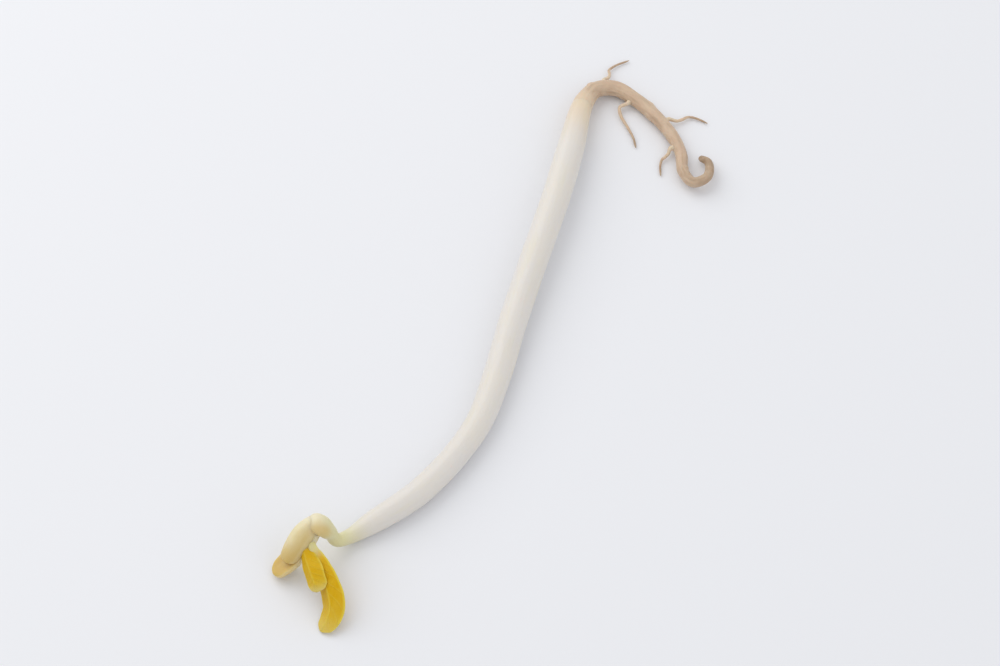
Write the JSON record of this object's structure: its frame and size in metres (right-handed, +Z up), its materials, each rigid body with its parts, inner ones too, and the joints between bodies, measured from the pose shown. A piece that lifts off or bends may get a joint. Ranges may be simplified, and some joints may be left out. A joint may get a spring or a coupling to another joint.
{
  "type": "mung bean sprout",
  "caption": "Fresh mung bean sprout lying down: plump white stem with a thin hooked neck, split bean halves, yellow first leaves and a tan curled root.",
  "frame": {"origin": "centre of the sprout's box in plan, at the height of the surface it lies on", "axes": "+Z up from the surface, +X along the sprout from the head towards the root end, +Y to the side the head sits on"},
  "size_m": [0.0758, 0.0198, 0.0056],
  "materials": {
    "stem": "moist satin, faintly translucent, white with a pale yellow-green neck",
    "root": "dull, thinly wrinkled, tan",
    "cotyledon": "satin, cream turning tan towards the tip",
    "stalk": "satin, pale yellow-green",
    "leaf": "satin, golden yellow with paler margins"
  },
  "bodies": {
    "root": {"hypocotyl": "stem", "primary_root": "root", "lateral_root_1": "root", "lateral_root_2": "root", "lateral_root_3": "root", "lateral_root_4": "root", "cotyledon_upper": "cotyledon", "cotyledon_lower": "cotyledon", "epicotyl": "stalk", "first_leaf_long": "leaf", "first_leaf_short": "leaf"}
  },
  "joints": []
}
